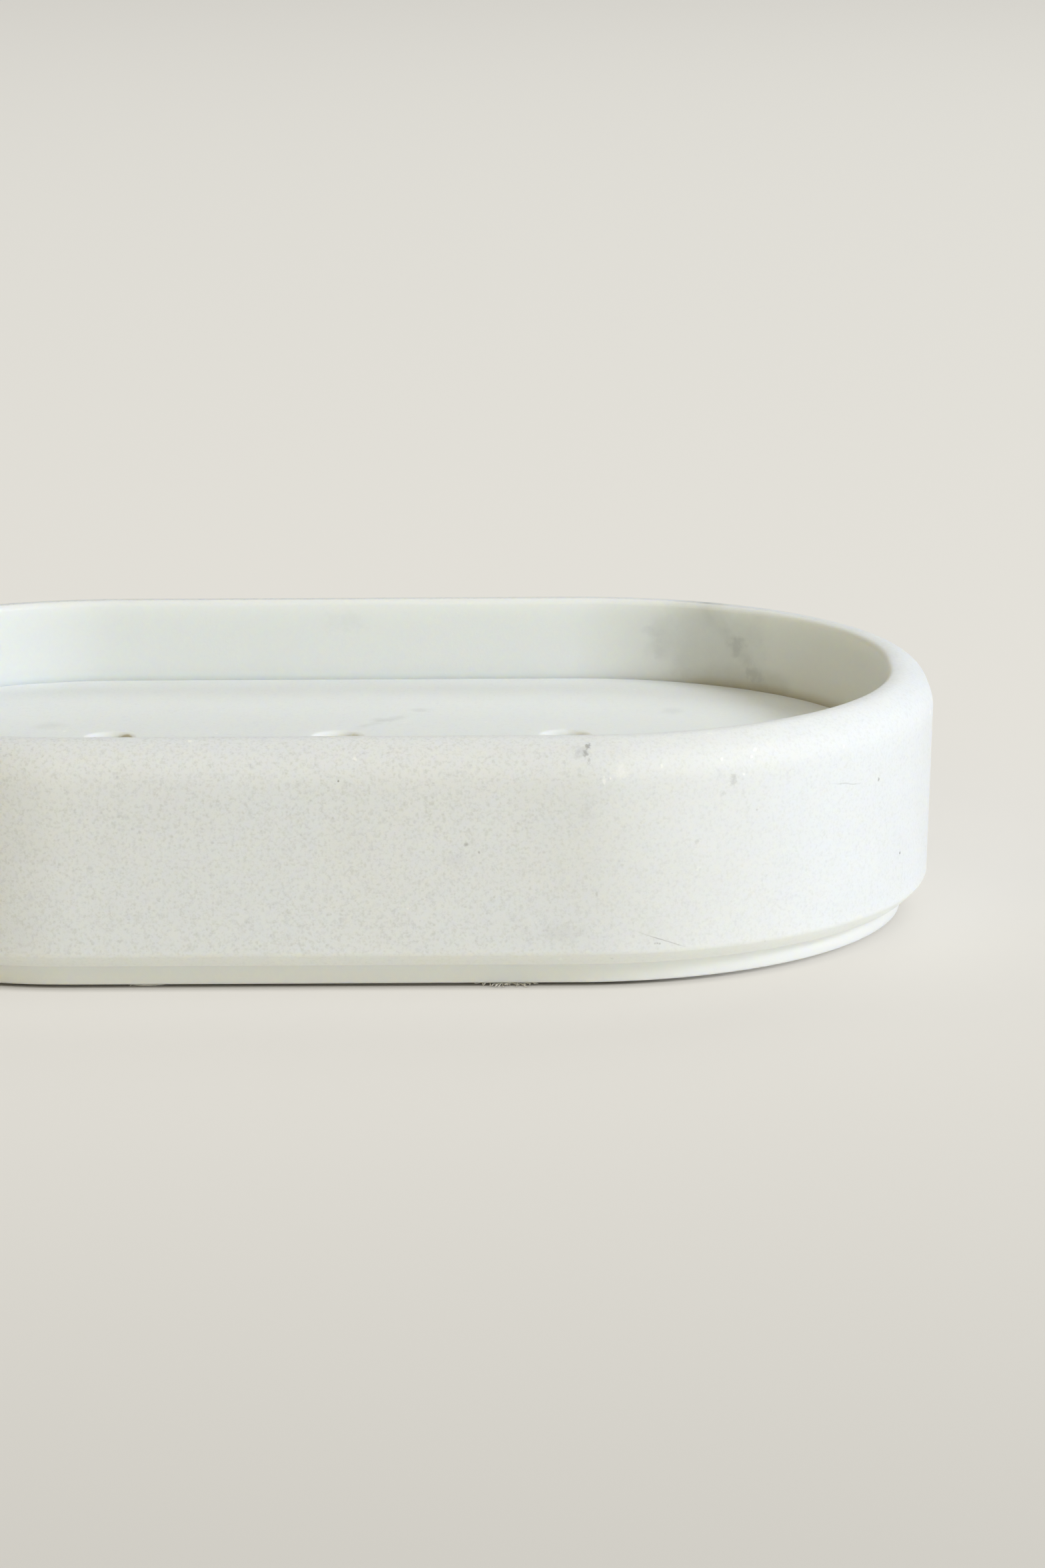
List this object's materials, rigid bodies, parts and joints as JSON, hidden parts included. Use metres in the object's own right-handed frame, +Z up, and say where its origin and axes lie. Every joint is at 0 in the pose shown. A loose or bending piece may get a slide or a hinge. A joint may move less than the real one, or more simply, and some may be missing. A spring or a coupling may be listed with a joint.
{
  "type": "soap dish",
  "caption": "Stone soap dish: an oval bowl with a rolled rim and an undercut foot, a lift-out drain plate with slots over a catch basin, and felt pads underneath.",
  "frame": {"origin": "on the surface the dish stands on, under the middle of the dish", "axes": "+X along the dish, +Y across it to the back, +Z up"},
  "size_m": [0.15, 0.095, 0.0304],
  "materials": {
    "marble_bowl": "honed",
    "marble_plate": "honed",
    "felt": "pressed white felt"
  },
  "bodies": {
    "dish": {"bowl": "marble_bowl", "felt_pad_front_left": "felt", "felt_pad_front_right": "felt", "felt_pad_back_left": "felt", "felt_pad_back_right": "felt"},
    "drain_plate": {"drain_plate": "marble_plate"}
  },
  "joints": [
    {"name": "drain_plate_lift", "type": "slide", "parent": "dish", "child": "drain_plate", "axis": [0, 0, 1], "range_m": [0, 0.04]}
  ]
}
